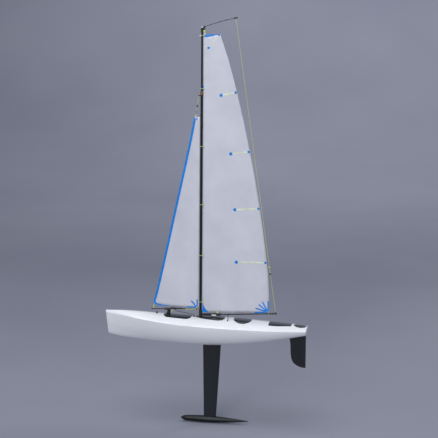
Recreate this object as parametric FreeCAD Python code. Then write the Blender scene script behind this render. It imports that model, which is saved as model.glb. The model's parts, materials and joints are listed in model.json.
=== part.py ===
import FreeCAD, Part
import math
import os

# Radio-controlled sailing yacht, 650 mm class. Millimetres, +X to the bow, +Y to port, +Z up.
# The origin is the lowest point of the hull's round bottom on the centreline.

Vector = FreeCAD.Vector

# ---- hull lines: (station along X, value), read by a smooth curve -------------------------
STEM_X = 301.5
TRANSOM_X = -342.5
BUMPER_LENGTH = 3.5       # how far the soft block reaches ahead of the stem at its foot
BUMPER_RAKE = 0.09        # how much further it reaches, per millimetre of height
WALL = 1.3
SEAM_DROP = 0.8
HALF_BEAM = [(-342.5, 33), (-290, 44.5), (-220, 53), (-130, 57.5), (-60, 58), (20, 56.5),
             (100, 49.5), (170, 38.5), (235, 24), (280, 12.5), (301.5, 7)]
SHEER = [(-342.5, 67.0), (-200, 68.2), (-60, 70.5), (60, 73.5), (160, 79.5), (240, 87), (301.5, 90)]
CROWN = [(-342.5, 75), (-287, 79.4), (-212, 83.4), (-88, 89.8), (25, 90), (134, 93.8),
         (218, 98), (256, 99), (301.5, 97.5)]
KEEL = [(-342.5, 48), (-285, 36), (-217, 23), (-162, 13.5), (-78, 3.5), (0, 0), (39, 0.1),
        (131, 1.8), (215, 7.8), (262, 12), (301.5, 20)]
FULLNESS = [(-342.5, 2.5), (0, 2.3), (200, 1.9), (301.5, 1.8)]
STATIONS = [-342.5, -310, -250, -180, -100, -20, 60, 130, 190, 240, 275, 301.5]
CAMBER_POWER = 2.2       # how flat the deck is across the boat
TRANSOM_RAKE = -0.13     # how far the transom leans, per millimetre of height
RAKE_RUN = 60.0          # the length over which the stations lean with it
RAKE_HEIGHT = 76.0       # the height at which a leaning station keeps its place
FAIR_GAP = 0.15          # between the hull and what is fitted against it

# ---- panels on the deck --------------------------------------------------------------------
PANEL_SKIN = 0.6
MAST_PLATE_RISE, MAST_PLATE_CORNER = 2.2, 4.0
MAST_HOLE_R = 4.2
LEAD_R, LEAD_BORE = 1.9, 1.1
HATCH_LEDGE = 5.0
EYELET_X, EYELET_R, EYELET_BORE, EYELET_LENGTH = 142.5, 3.0, 1.3, 2.0
EYELET_RISE = 3.2        # the height of the eyelet's bore above the deck

# ---- keel ----------------------------------------------------------------------------------
FIN_TOP_LEAD, FIN_TOP_TRAIL = -8.0, -66.7
FIN_FOOT_LEAD, FIN_FOOT_TRAIL = -9.9, -49.8
FIN_ROOT_THICKNESS, FIN_FOOT_THICKNESS = 6.4, 4.8
FIN_UPPER_Z, FIN_LOWER_Z = 6.0, -246.0
FIN_BASE = [(0.0, -240.7), (-24.0, -240.85), (-80.0, -242.7)]    # just above the bulb
TANG_FRONT, TANG_BACK, TANG_HALF, TANG_TOP = -16.0, -39.0, 2.3, 58.0
TANG_CLEARANCE = 0.3
TANG_ROOT = -6.0
KEEL_BOX_TOP = 66.0
KEEL_BOX_WALL = 2.2
KEEL_STUD_X, STUD_R, STUD_THREAD = -27.5, 1.5, 14.0
KEEL_NUT_HALF_FLATS, KEEL_WASHER_R = 3.2, 4.4
BULB_NOSE, BULB_TAIL, BULB_Z = 66.2, -155.7, -252.0
BULB_RADIUS = 11.0
FOOT_FRONT, FOOT_BACK, FOOT_HALF, FOOT_LOW = -16.0, -31.0, 1.9, -249.0
FOOT_ROOT = -236.0
BULB_SCREW_X, BULB_SCREW_R, BULB_SCREW_TOP = -23.5, 1.0, -244.0
BULB_SCREW_HEAD_R, BULB_SCREW_SEAT = 2.2, -258.5

# ---- mast and its fittings: built upright on the mast axis, then raked ---------------------
RAKE = 0.5
RAKE_Z = 97.0
MAST_FOOT = 12.0
LOWER_MAST_R, LOWER_MAST_BORE = 3.9, 2.95
UPPER_MAST_R, UPPER_MAST_BORE = 2.9, 2.1
MAST_JOINT = 806.0
MAST_SPIGOT = 45.0
FERRULE_R = 4.7
COLLAR_R, LOWER_COLLAR, UPPER_COLLAR = 4.9, (92.9, 94.6), (112.3, 114.0)
SLEEVE_R, SLEEVE_FOOT, SLEEVE_TOP, SLEEVE_GAP = 5.0, 94.8, 112.1, 0.08
MAST_TOP = 1003.0
CRANE_R = 0.9
CRANE_ROOT, CRANE_MIDDLE, CRANE_TIP = (-2.5, 1003.6), (-50.0, 1019.9), (-98.5, 1032.6)
TIE_R = 0.45
MAIN_TIE_HEIGHTS = [139.6, 290.8, 454.2, 638.4, 817.4, 979.5]

# ---- main boom and mainsail, upright mast frame --------------------------------------------
BOOM_R, BOOM_WALL = 1.8, 0.6
BOOM_BANDS = [-215.5, -224.0, -231.0]
CLEW_RING_X, CLEW_RING_R = -219.5, 2.6
BOOM_START, BOOM_END = (-46.0, 99.4), (-243.8, 114.6)
LUFF_X = -6.6
MAINSAIL = [(104.8, (-220.0, 116.0)), (250.0, (-212.8, 262.0)), (400.0, (-191.5, 415.0)),
            (560.0, (-161.0, 585.0)), (720.0, (-125.0, 748.0)), (870.0, (-87.5, 890.0)),
            (976.0, (-56.5, 983.5))]
SAIL_THICKNESS = 0.4
MAIN_CAMBER, JIB_CAMBER = 0.035, 0.03

# ---- jib: it turns about the line from its deck post up to the mast -----------------------
JIB_PIVOT = (104.7, 95.0)
HOIST = (3.5, 795.5)
JIB_FOOT_R, JIB_PIN_R, JIB_PIN_HEAD_R, JIB_CUP_R, JIB_CLAMP_R = 7.0, 1.2, 2.1, 5.2, 3.6
JIB_BOOM_R, JIB_BOOM_WALL = 1.4, 0.5
TRIM_BAR_R, TRIM_KNOB_R, TRIM_KNOBS = 1.4, 1.8, (94.0, 86.0)
JIB_BOOM_START, JIB_BOOM_END = (159.5, 108.6), (12.5, 115.2)
JIBSAIL = [((153.0, 125.5), (9.5, 119.5)), ((122.5, 268.0), (9.0, 262.0)),
           ((88.5, 415.0), (8.3, 408.0)), ((53.5, 567.0), (7.0, 560.0)),
           ((17.5, 731.5), (5.4, 729.0))]

# ---- cords ---------------------------------------------------------------------------------
CORD_R, SHEET_R = 0.6, 0.9
LEECH_LINE_R, LEECH_LINE_TOP, LEECH_LINE_FOOT = 0.55, (-112.5, 1029.0), (-240.7, 119.4)
HALYARD_TOP_Z, HALYARD_FOOT_Z, HEAD_TIE_Z = 793.4, 748.0, 741.0
MAINSHEET_EYE_X = -89.5
# a lead in the deck: its place, how far it stands up and its flange's radius
MAINSHEET_LEAD = {"x": -92.0, "y": 22.0, "top": 1.4, "flange": 2.4}
JIB_LEAD = {"x": 21.2, "y": 0.0, "top": 4.6, "flange": 5.0}
JIB_SHEET_TOP, JIB_SHEET_FOOT = (80.5, 105.6), (24.0, 96.8)
BOWSIE_GAP = 0.06
BOWSIE_R, BOWSIE_HALF = 1.9, 3.2

# ---- rudder --------------------------------------------------------------------------------
RUDDER_X = -303.0
RUDDER_SHAFT_R = 1.5
RUDDER_GAP = 1.3
RUDDER_TRAIL, RUDDER_TIP_Z, RUDDER_THICKNESS = -338.6, -60.6, 4.8
RUN_GAP = 0.05
TILLER_Z = 66.0
TILLER_REACH = 12.0
ROD_R = 0.8

# ---- electronics ---------------------------------------------------------------------------
TRAY_Z, TRAY_THICKNESS, TRAY_FRONT, TRAY_BACK = 42.0, 2.0, -66.0, -214.0
TRAY_TOP = TRAY_Z + TRAY_THICKNESS + 0.1
# a servo's shaft is at x; its case runs from front ahead of the shaft to back behind it
SAIL_SERVO = {"x": -100.0, "front": 10.5, "back": 30.0, "half": 10.0,
              "low": 18.0, "high": 54.0, "lug": 7.0}
RUDDER_SERVO = {"x": -190.0, "front": 6.0, "back": 17.0, "half": 6.0,
                "low": 30.0, "high": 58.0, "lug": 4.5}
SERVO_SHAFT_R, SERVO_SCREW_R = 2.0, 1.05
SAIL_ARM_REACH = 42.0
SAIL_ARM_Z, RUDDER_HORN_FOOT = 56.4, 60.4
CELL_R, CELL_LENGTH = 7.2, 50.5


# ---- general helpers -----------------------------------------------------------------------
def smooth(points):
    """A smooth function through the points, with each slope taken from its neighbours."""
    points = sorted(points)
    slopes = []
    for i in range(len(points)):
        before = points[max(i - 1, 0)]
        after = points[min(i + 1, len(points) - 1)]
        slopes.append((after[1] - before[1]) / (after[0] - before[0]))

    def value(x):
        i = 0
        while i < len(points) - 2 and x > points[i + 1][0]:
            i += 1
        (x0, y0), (x1, y1) = points[i], points[i + 1]
        run = x1 - x0
        t = (x - x0) / run
        return ((1 + 2 * t) * (1 - t) ** 2 * y0 + t * (1 - t) ** 2 * run * slopes[i]
                + t * t * (3 - 2 * t) * y1 + t * t * (t - 1) * run * slopes[i + 1])

    return value


def side(point, y=0.0):
    """The point (x, z) of the side view as a vector at the given Y."""
    return Vector(point[0], y, point[1])


def upright(r, z0, z1, x=0.0, y=0.0):
    """A cylinder along Z."""
    return Part.makeCylinder(r, z1 - z0, Vector(x, y, z0))


def ring(outer, inner, z0, z1, x=0.0, y=0.0):
    """A tube along Z."""
    return upright(outer, z0, z1, x, y).cut(upright(inner, z0 - 1, z1 + 1, x, y))


def rod(start, end, r):
    """A straight round bar between two vectors."""
    return Part.makeCylinder(r, (end - start).Length, start, end - start)


def tube(start, end, outer, inner):
    """A straight tube between two vectors."""
    along = (end - start).normalize()
    return rod(start, end, outer).cut(rod(start - along, end + along, inner))


def block(x0, x1, y0, y1, z0, z1):
    """A box between two corners."""
    low = Vector(min(x0, x1), min(y0, y1), min(z0, z1))
    return Part.makeBox(abs(x1 - x0), abs(y1 - y0), abs(z1 - z0), low)


def rounded(shape, r):
    """The shape with its upright edges rounded."""
    edges = [e for e in shape.Edges if abs(e.tangentAt(e.FirstParameter).z) > 0.99]
    return shape.makeFillet(r, edges)


def outline(points, y0, y1):
    """A side-view outline of (x, z) points, pulled from y0 to y1."""
    wire = Part.makePolygon([side(p, y0) for p in points] + [side(points[0], y0)])
    return Part.Face(wire).extrude(Vector(0, y1 - y0, 0))


def tilted(shape, pivot, degrees):
    """The shape leaned about the Y direction; a positive angle leans its top to the bow."""
    leaned = shape.copy()
    leaned.rotate(side(pivot), Vector(0, 1, 0), degrees)
    return leaned


def top_rounded(shape, r):
    """The shape with the edges at its very top rounded."""
    top = shape.BoundBox.ZMax
    return shape.makeFillet(r, [e for e in shape.Edges if e.BoundBox.ZMin > top - 0.01])


def raked(shape):
    """The shape moved from the upright mast frame to the raked mast."""
    return tilted(shape, (0, RAKE_Z), -RAKE)


# ---- hull ----------------------------------------------------------------------------------
half_beam = smooth(HALF_BEAM)
sheer = smooth(SHEER)
crown = smooth(CROWN)
keel = smooth(KEEL)
fullness = smooth(FULLNESS)


def deck(x, y):
    """The height of the deck's surface."""
    return sheer(x) + (crown(x) - sheer(x)) * (1 - abs(y / half_beam(x)) ** CAMBER_POWER)


def section(x, grow):
    """The closed hull section at station x, grown outwards by the given amount."""
    b = half_beam(x) + grow
    s = sheer(x)
    c = crown(x) + grow
    k = keel(x) - grow
    power = 2.0 / fullness(x)
    lean = TRANSOM_RAKE * max(0.0, 1.0 - (x - TRANSOM_X) / RAKE_RUN)

    def place(y, z):
        return Vector(x + lean * (z - RAKE_HEIGHT), y, z)

    bottom = []
    for i in range(-5, 6):
        turn = math.radians(90 - 18 * abs(i))
        y = math.copysign(b * math.cos(turn) ** power, i) if i else 0.0
        bottom.append(place(y, s - (s - k) * math.sin(turn) ** power))
    top = []
    for i in range(-4, 5):
        share = i / 4.0
        top.append(place(-share * b, s + (c - s) * (1 - abs(share) ** CAMBER_POWER)))
    under = Part.BSplineCurve()
    under.interpolate(bottom)
    over = Part.BSplineCurve()
    over.interpolate(top)
    return Part.Wire([under.toShape(), over.toShape()])


def hull_body(grow):
    """The whole hull as one solid, grown outwards; a negative growth gives its inside."""
    shrink = -min(grow, 0.0)
    stations = [TRANSOM_X + shrink] + STATIONS[1:-1] + [STEM_X - shrink]
    return Part.makeLoft([section(x, grow) for x in stations], True, False)


def above_seam():
    """Everything above the seam between the hull and the deck."""
    ahead, behind, top = STEM_X + 20, TRANSOM_X - 20, 160
    line = [Vector(x, -100, sheer(x) - SEAM_DROP) for x in STATIONS]
    line[0].x = behind
    line[-1].x = ahead
    curve = Part.BSplineCurve()
    curve.interpolate(line)
    roof = Part.makePolygon([Vector(ahead, -100, line[-1].z), Vector(ahead, -100, top),
                             Vector(behind, -100, top), Vector(behind, -100, line[0].z)])
    return Part.Face(Part.Wire([curve.toShape()] + roof.Edges)).extrude(Vector(0, 200, 0))


OUTER = hull_body(0.0)
INNER = hull_body(-WALL)
ROOM = hull_body(-WALL - 0.3)
SKIN = hull_body(PANEL_SKIN)
UPPER_HALF = above_seam()


def pulled_up(wire):
    """An upright prism through the deck over a plan outline."""
    return Part.Face(wire).extrude(Vector(0, 0, 60))


def plan(points):
    """The closed plan outline through (x, y) points."""
    return Part.makePolygon([Vector(x, y, 60) for x, y in points + points[:1]])


def mirrored(points):
    """The port half of a plan outline, completed to starboard."""
    return points + [(x, -y) for x, y in reversed(points) if y]


# each with straight sides: the plan outline and how its corners are rounded
PANELS = {
    "foredeck_panel": (mirrored([(119, 10), (109, 22), (41, 26), (31, 19), (28, 8)]), 4.0),
    "aft_hatch_cover": (mirrored([(-222, 26.5), (-250, 25), (-293, 15)]), 3.0),
}
# each an ellipse: the middle's X, half the length and half the width
ROUND_PANELS = {
    "main_hatch_cover": (-137.0, 29.0, 32.5),
    "stern_hatch_cover": (-320.0, 20.0, 17.0),
}
HATCHES = ["main_hatch_cover", "aft_hatch_cover", "stern_hatch_cover"]
MAST_PLATE = mirrored([(14.7, 6), (-4, 15), (-25, 20.5), (-62, 24.5), (-74, 21), (-79, 10)])


def panel_prism(name):
    """The upright prism over a deck panel."""
    if name in ROUND_PANELS:
        return round_prism(name, 0.0)
    points, corner = PANELS[name]
    return rounded(pulled_up(plan(points)), corner)


def round_prism(name, inset):
    """The upright prism over a round hatch cover, smaller all round by the inset."""
    x, length, width = ROUND_PANELS[name]
    middle = Vector(x, 0, 60)
    edge = Part.Ellipse(middle, max(length, width) - inset, min(length, width) - inset).toShape()
    if width > length:
        edge.rotate(middle, Vector(0, 0, 1), 90)
    return pulled_up(Part.Wire([edge]))


def hatch_hole(name):
    """The hole in the deck under a hatch cover, a ledge smaller than the cover all round."""
    if name in ROUND_PANELS:
        return round_prism(name, HATCH_LEDGE)
    return Part.Face(plan(PANELS[name][0])).makeOffset2D(-HATCH_LEDGE).extrude(Vector(0, 0, 60))


def hull_shell():
    slot = block(TANG_FRONT + TANG_CLEARANCE, TANG_BACK - TANG_CLEARANCE,
                 -TANG_HALF - TANG_CLEARANCE, TANG_HALF + TANG_CLEARANCE, -20, 20)
    tube_hole = upright(3.2, 20, 60, RUDDER_X)
    return OUTER.cut(INNER).cut(UPPER_HALF).cut(slot).cut(tube_hole)


def deck_shell():
    shell = OUTER.cut(INNER).common(UPPER_HALF)
    for name in HATCHES:
        shell = shell.cut(hatch_hole(name))
    keel_nut_hole = rounded(block(-16, -60, -9, 9, 70, 110), 4.0)
    lead_holes = [upright(LEAD_R + 0.1, 70, 110, lead["x"], lead["y"])
                  for lead in (MAINSHEET_LEAD, JIB_LEAD)]
    return shell.cut([keel_nut_hole, raked(upright(MAST_HOLE_R, 70, 110))] + lead_holes)


def bow_bumper():
    """The soft block on the stem, narrowing to a blunt edge that rakes forward to its top."""
    face = section(STEM_X, 0.0)
    low, high = face.BoundBox.ZMin, face.BoundBox.ZMax
    wires = [face]
    for share, breadth, height in ((0.4, 0.95, 0.99), (0.8, 0.78, 0.97), (1.0, 0.45, 0.94)):
        move = FreeCAD.Matrix()
        move.A22 = breadth
        move.A33 = height
        move.A34 = high * (1 - height)
        move.A13 = BUMPER_RAKE * share
        move.A14 = share * (BUMPER_LENGTH - BUMPER_RAKE * low)
        wires.append(Part.Wire(face.transformGeometry(move).Edges))
    return Part.makeLoft(wires, True, False)


def deck_panel(name):
    panel = SKIN.cut(OUTER).common(panel_prism(name))
    if name == "foredeck_panel":
        panel = panel.cut(upright(JIB_FOOT_R + 0.6, 60, 120, JIB_PIVOT[0]))
    return panel


def mast_plate():
    """The raised plate round the mast and over the keel's nut."""
    outer = rounded(pulled_up(plan(MAST_PLATE)), MAST_PLATE_CORNER)
    raised = hull_body(MAST_PLATE_RISE).cut(OUTER).common(outer)
    return raised.cut(raked(upright(MAST_HOLE_R, 60, 120)))


# ---- keel ----------------------------------------------------------------------------------
def foil_wire(lead, trail, thickness, z):
    """A symmetrical foil section with a round nose and a thin tail, at height z."""
    chord = lead - trail
    stations = [(0.0, 0.0), (0.04, 0.48), (0.15, 0.84), (0.35, 1.0), (0.7, 0.6)]
    tail = 0.35
    port = [Vector(lead - s * chord, t * thickness / 2, z) for s, t in stations]
    port.append(Vector(trail, tail, z))
    starboard = [Vector(p.x, -p.y, z) for p in reversed(port)]
    curve = Part.BSplineCurve()
    curve.interpolate(starboard[:-1] + port)
    return Part.Wire([curve.toShape(), Part.makeLine(port[-1], starboard[0])])


def keel_box():
    front = TANG_FRONT + TANG_CLEARANCE
    back = TANG_BACK - TANG_CLEARANCE
    half = TANG_HALF + TANG_CLEARANCE
    wall = KEEL_BOX_WALL
    box = block(front + wall, back - wall, -half - wall, half + wall, -5, KEEL_BOX_TOP)
    slot = block(front, back, -half, half, -10, TANG_TOP + 1)
    stud_hole = upright(STUD_R + 0.3, TANG_TOP, KEEL_BOX_TOP + 1, KEEL_STUD_X)
    return box.common(ROOM).cut(slot).cut(stud_hole)


def keel_bulb_body():
    """The bulb of revolution: a round nose and a long pointed tail."""
    length = BULB_NOSE - BULB_TAIL
    profile = [(0.0, 0.0), (0.03, 0.5), (0.12, 0.83), (0.33, 1.0), (0.6, 0.82), (0.85, 0.42), (1.0, 0.08)]
    points = [Vector(BULB_NOSE - s * length, 0, BULB_Z + r * BULB_RADIUS) for s, r in profile]
    curve = Part.BSplineCurve()
    curve.interpolate(points)
    tail = Part.makeLine(points[-1], Vector(BULB_TAIL, 0, BULB_Z))
    axis = Part.makeLine(Vector(BULB_TAIL, 0, BULB_Z), points[0])
    face = Part.Face(Part.Wire([curve.toShape(), tail, axis]))
    return face.revolve(Vector(0, 0, BULB_Z), Vector(1, 0, 0), 360)


def keel_fin():
    """The foil blade from under the hull to just above the bulb, with a tang and a foot."""
    blade = Part.makeLoft([foil_wire(FIN_TOP_LEAD, FIN_TOP_TRAIL, FIN_ROOT_THICKNESS, FIN_UPPER_Z),
                           foil_wire(FIN_FOOT_LEAD, FIN_FOOT_TRAIL, FIN_FOOT_THICKNESS, FIN_LOWER_Z)],
                          True, True)
    under_hull = [(x, keel(x) - FAIR_GAP) for x in range(-80, 1, 16)]
    blade = blade.common(outline(under_hull + FIN_BASE, -10, 10))
    foot = block(FOOT_FRONT, FOOT_BACK, -FOOT_HALF, FOOT_HALF, FOOT_LOW, FOOT_ROOT)
    tang = block(TANG_FRONT, TANG_BACK, -TANG_HALF, TANG_HALF, TANG_ROOT, TANG_TOP)
    stud_hole = upright(STUD_R, TANG_TOP - STUD_THREAD, TANG_TOP + 1, KEEL_STUD_X)
    screw_hole = upright(BULB_SCREW_R, FOOT_LOW - 1, BULB_SCREW_TOP + 0.5, BULB_SCREW_X)
    return blade.fuse([foot, tang]).cut([stud_hole, screw_hole])


def keel_bulb():
    gap = 0.2
    pocket = block(FOOT_FRONT + gap, FOOT_BACK - gap, -FOOT_HALF - gap, FOOT_HALF + gap,
                   FOOT_LOW - gap, BULB_Z + BULB_RADIUS + 3)
    screw_hole = upright(BULB_SCREW_R + 0.3, -270, FOOT_LOW + 1, BULB_SCREW_X)
    head_room = upright(BULB_SCREW_HEAD_R + gap, -270, BULB_SCREW_SEAT + 0.1, BULB_SCREW_X)
    return keel_bulb_body().cut([pocket, screw_hole, head_room])


def keel_fasteners():
    """The stud, washer and nut that hold the fin, and the screw that holds the bulb."""
    x, seat = KEEL_STUD_X, KEEL_BOX_TOP
    stud = upright(STUD_R - RUN_GAP, TANG_TOP - STUD_THREAD + 1, seat + 7, x)
    washer = ring(KEEL_WASHER_R, STUD_R + 0.1, seat + 0.05, seat + 0.85, x)
    corners = [math.radians(60 * i) for i in range(7)]
    hexagon = Part.makePolygon([Vector(x + KEEL_NUT_HALF_FLATS * math.cos(a),
                                       KEEL_NUT_HALF_FLATS * math.sin(a), seat + 0.9)
                                for a in corners])
    nut = Part.Face(hexagon).extrude(Vector(0, 0, 3.2)).cut(upright(STUD_R, seat, seat + 9, x))
    x, seat = BULB_SCREW_X, BULB_SCREW_SEAT
    head = upright(BULB_SCREW_HEAD_R, seat - 1.8, seat, x)
    slot = block(x - 4, x + 4, -0.3, 0.3, seat - 3, seat - 1.1)
    screw = head.cut(slot).fuse(upright(BULB_SCREW_R - RUN_GAP, seat, BULB_SCREW_TOP, x))
    return Part.makeCompound([stud, washer, nut, screw])


# ---- mast ----------------------------------------------------------------------------------
def mast_step():
    step = ring(6.2, LOWER_MAST_R + RUN_GAP, MAST_FOOT - 3, 88)
    foot = upright(6.2, -5, MAST_FOOT - 0.5)
    return raked(step.fuse(foot)).common(ROOM)


def mast_lower():
    return raked(ring(LOWER_MAST_R, LOWER_MAST_BORE, MAST_FOOT, MAST_JOINT))


def mast_upper():
    return raked(ring(UPPER_MAST_R, UPPER_MAST_BORE, MAST_JOINT - MAST_SPIGOT, MAST_TOP))


def mast_ferrule():
    skirt = ring(FERRULE_R, LOWER_MAST_R, MAST_JOINT - 8, MAST_JOINT)
    lip = ring(FERRULE_R, UPPER_MAST_R, MAST_JOINT, MAST_JOINT + 2.5)
    return raked(skirt.fuse(lip))


def masthead_cap():
    plug = upright(UPPER_MAST_BORE - RUN_GAP, MAST_TOP - 8, MAST_TOP)
    dome = top_rounded(upright(3.3, MAST_TOP, MAST_TOP + 2.6), 1.4)
    return raked(plug.fuse(dome))


def masthead_fitting():
    clamp = ring(4.0, UPPER_MAST_R, MAST_TOP - 13, MAST_TOP - 0.5)
    bracket = outline([(-3.5, 992), (-9.5, 997), (-9.5, 1009), (-3.9, 1007)], -2.2, 2.2)
    bracket = bracket.cut(upright(3.6, 985, 1012))
    return raked(clamp.fuse(bracket).cut(crane_rod()))


CRANE_ARC = Part.Arc(side(CRANE_ROOT), side(CRANE_MIDDLE), side(CRANE_TIP))


def on_crane(share):
    """The point at a share of the way along the crane, and the crane's direction there."""
    at = CRANE_ARC.FirstParameter + share * (CRANE_ARC.LastParameter - CRANE_ARC.FirstParameter)
    return CRANE_ARC.value(at), CRANE_ARC.tangent(at)[0]


def crane_rod():
    """The crane's bent rod: a disc swept along one arc."""
    start, along = on_crane(0.0)
    disc = Part.Wire(Part.makeCircle(CRANE_R, start, along))
    return Part.Wire(CRANE_ARC.toShape()).makePipeShell([disc], True, False)


def masthead_crane():
    cap_room = upright(3.6, MAST_TOP - 4, MAST_TOP + 8)
    return raked(crane_rod().cut(cap_room))


def crane_beads():
    """Two stop beads on the crane and the knob at its end."""
    beads = []
    for share in (0.56, 0.76):
        centre, along = on_crane(share)
        beads.append(rod(centre - along, centre + along, 1.9).cut(crane_rod()))
    tip, along = on_crane(1.0)
    beads.append(rod(tip, tip + along * 11, 2.4))
    return raked(Part.makeCompound(beads))


def mast_collars():
    """The two collars that the gooseneck turns between."""
    return raked(Part.makeCompound([ring(COLLAR_R, LOWER_MAST_R, foot, top)
                                    for foot, top in (LOWER_COLLAR, UPPER_COLLAR)]))


def hoist_eye():
    """The ring on the mast's fore side that holds the jib's halyard."""
    foot, top = HOIST[1] - 1.5, HOIST[1] + 1.5
    band = ring(LOWER_MAST_R + 1, LOWER_MAST_R, foot, top)
    lug = block(LOWER_MAST_R + 0.3, 11.2, -0.9, 0.9, foot, top)
    lug = lug.cut(Part.makeCylinder(0.8, 4, Vector(9.6, -2, HOIST[1]), Vector(0, 1, 0)))
    return raked(band.fuse(lug))


# ---- main boom -----------------------------------------------------------------------------
def gooseneck():
    sleeve = ring(SLEEVE_R, LOWER_MAST_R + SLEEVE_GAP, SLEEVE_FOOT, SLEEVE_TOP)
    arm = outline([(-3, 95.0), (-50, 96.2), (-66, 98.2), (-66, 103.8), (-50, 103.6), (-3, 101)],
                  -3.0, 3.0)
    arm = arm.cut(upright(LOWER_MAST_R + 0.5, 90, 110))
    boom_bore = rod(side(BOOM_START), side(BOOM_END), BOOM_R)
    return raked(sleeve.fuse(arm).cut(boom_bore))


def main_boom_tube():
    return raked(tube(side(BOOM_START), side(BOOM_END), BOOM_R, BOOM_R - BOOM_WALL))


def on_boom(x):
    """The point on the main boom's axis at the given X."""
    share = (x - BOOM_START[0]) / (BOOM_END[0] - BOOM_START[0])
    return side(BOOM_START) + (side(BOOM_END) - side(BOOM_START)) * share


def boom_end_fittings():
    """Three bands near the boom's end and its end cap, which has an eye for the leech line."""
    end = side(BOOM_END)
    along = (end - side(BOOM_START)).normalize()
    pieces = []
    for x in BOOM_BANDS:
        centre = on_boom(x)
        pieces.append(tube(centre - along * 1.5, centre + along * 1.5, 2.9, BOOM_R))
    cap = rod(end - along * 6, end + along * 1.5, 2.8)
    plate = block(end.x + 1.8, end.x + 4.6, -1.0, 1.0, end.z + 1.5, end.z + 4.6)
    hole = Part.makeCylinder(0.6, 4, Vector(end.x + 3.2, -2, end.z + 3.6), Vector(0, 1, 0))
    pieces.append(cap.fuse(plate).cut([rod(end - along * 8, end, BOOM_R), hole]))
    return raked(Part.makeCompound(pieces))


def boom_sheet_eye():
    """The band and eye under the main boom that take the mainsheet."""
    centre = on_boom(MAINSHEET_EYE_X)
    along = (side(BOOM_END) - side(BOOM_START)).normalize()
    band = tube(centre - along * 1.6, centre + along * 1.6, 2.7, BOOM_R)
    tab = block(centre.x - 1.5, centre.x + 1.5, -0.8, 0.8, centre.z - 4.6, centre.z - 1.9)
    tab = tab.cut(rod(centre - along * 5, centre + along * 5, BOOM_R + 0.3))
    hole = Part.makeCylinder(0.6, 4, Vector(centre.x, -2, centre.z - 3.6), Vector(0, 1, 0))
    return raked(band.fuse(tab).cut(hole))


def sail(stations, camber):
    """A thin cambered sheet through (luff point, leech point) stations; its belly is to starboard."""
    through = Vector(0, SAIL_THICKNESS, 0)
    wires = []
    for luff, leech in stations:
        start, end = side(luff), side(leech)
        belly = (start + end) * 0.5 - Vector(0, (end - start).Length * camber, 0)
        near = Part.Arc(start, belly, end)
        far = Part.Arc(end - through, belly - through, start - through)
        wires.append(Part.Wire([near.toShape(), Part.makeLine(end, end - through),
                                far.toShape(), Part.makeLine(start - through, start)]))
    sheet = Part.makeLoft(wires, True, False)
    sheet.translate(through * 0.5)
    return sheet


def mainsail():
    return raked(sail([((LUFF_X, z), leech) for z, leech in MAINSAIL], MAIN_CAMBER))


def mainsail_ties():
    """The rings that hold the luff to the mast, each pulled aft, and the clew's ring on the boom."""
    ties = []
    for z in MAIN_TIE_HEIGHTS:
        near = (LOWER_MAST_R if z < MAST_JOINT else UPPER_MAST_R) + 0.1
        far = -LUFF_X - 0.2
        shift = (far - near) / 2 - TIE_R
        ties.append(Part.makeTorus((near + far) / 2, TIE_R, Vector(-shift, 0, z)))
    ties.append(Part.makeTorus(CLEW_RING_R, TIE_R, on_boom(CLEW_RING_X), side(BOOM_END) - side(BOOM_START)))
    return raked(Part.makeCompound(ties))


# ---- jib -----------------------------------------------------------------------------------
JIB_LEAN = -math.degrees(math.atan2(JIB_PIVOT[0] - HOIST[0], HOIST[1] - JIB_PIVOT[1]))


def on_stay(shape):
    """A shape built about an upright axis at the jib's pivot, leaned onto the stay line."""
    moved = shape.copy()
    moved.translate(side(JIB_PIVOT))
    return tilted(moved, JIB_PIVOT, JIB_LEAN)


def stay(z):
    """The point at height z on the line that the jib turns about."""
    share = (z - JIB_PIVOT[1]) / (HOIST[1] - JIB_PIVOT[1])
    return Vector(JIB_PIVOT[0] + share * (HOIST[0] - JIB_PIVOT[0]), 0, z)


def on_jib_boom(x):
    """The point on the jib boom's axis at the given X."""
    share = (x - JIB_BOOM_START[0]) / (JIB_BOOM_END[0] - JIB_BOOM_START[0])
    return side(JIB_BOOM_START) + (side(JIB_BOOM_END) - side(JIB_BOOM_START)) * share


def jib_pivot_post():
    """A round foot on the deck with a headed pin along the line that the jib turns about."""
    pin = upright(JIB_PIN_R, 0, 10.0).fuse(upright(JIB_PIN_HEAD_R, 8.0, 10.0))
    return on_stay(upright(JIB_FOOT_R, -8, 3.0).fuse(pin)).cut(hull_body(FAIR_GAP))


def jib_swivel():
    """The cup that turns on the post's pin and clamps the jib boom above it."""
    cup = upright(JIB_CUP_R, 3.2, 15.0)
    head_room = upright(JIB_PIN_HEAD_R + 3 * RUN_GAP, 7.7, 10.3)
    bore = upright(JIB_PIN_R + RUN_GAP, 2, 9).fuse(head_room)
    clamp = rod(on_jib_boom(117.0), on_jib_boom(97.0), JIB_CLAMP_R)
    boom = rod(on_jib_boom(130.0), on_jib_boom(80.0), JIB_BOOM_R)
    return on_stay(cup).fuse(clamp).cut([on_stay(bore), boom])


def jib_boom_tube():
    return tube(side(JIB_BOOM_START), side(JIB_BOOM_END), JIB_BOOM_R, JIB_BOOM_R - JIB_BOOM_WALL)


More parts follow.
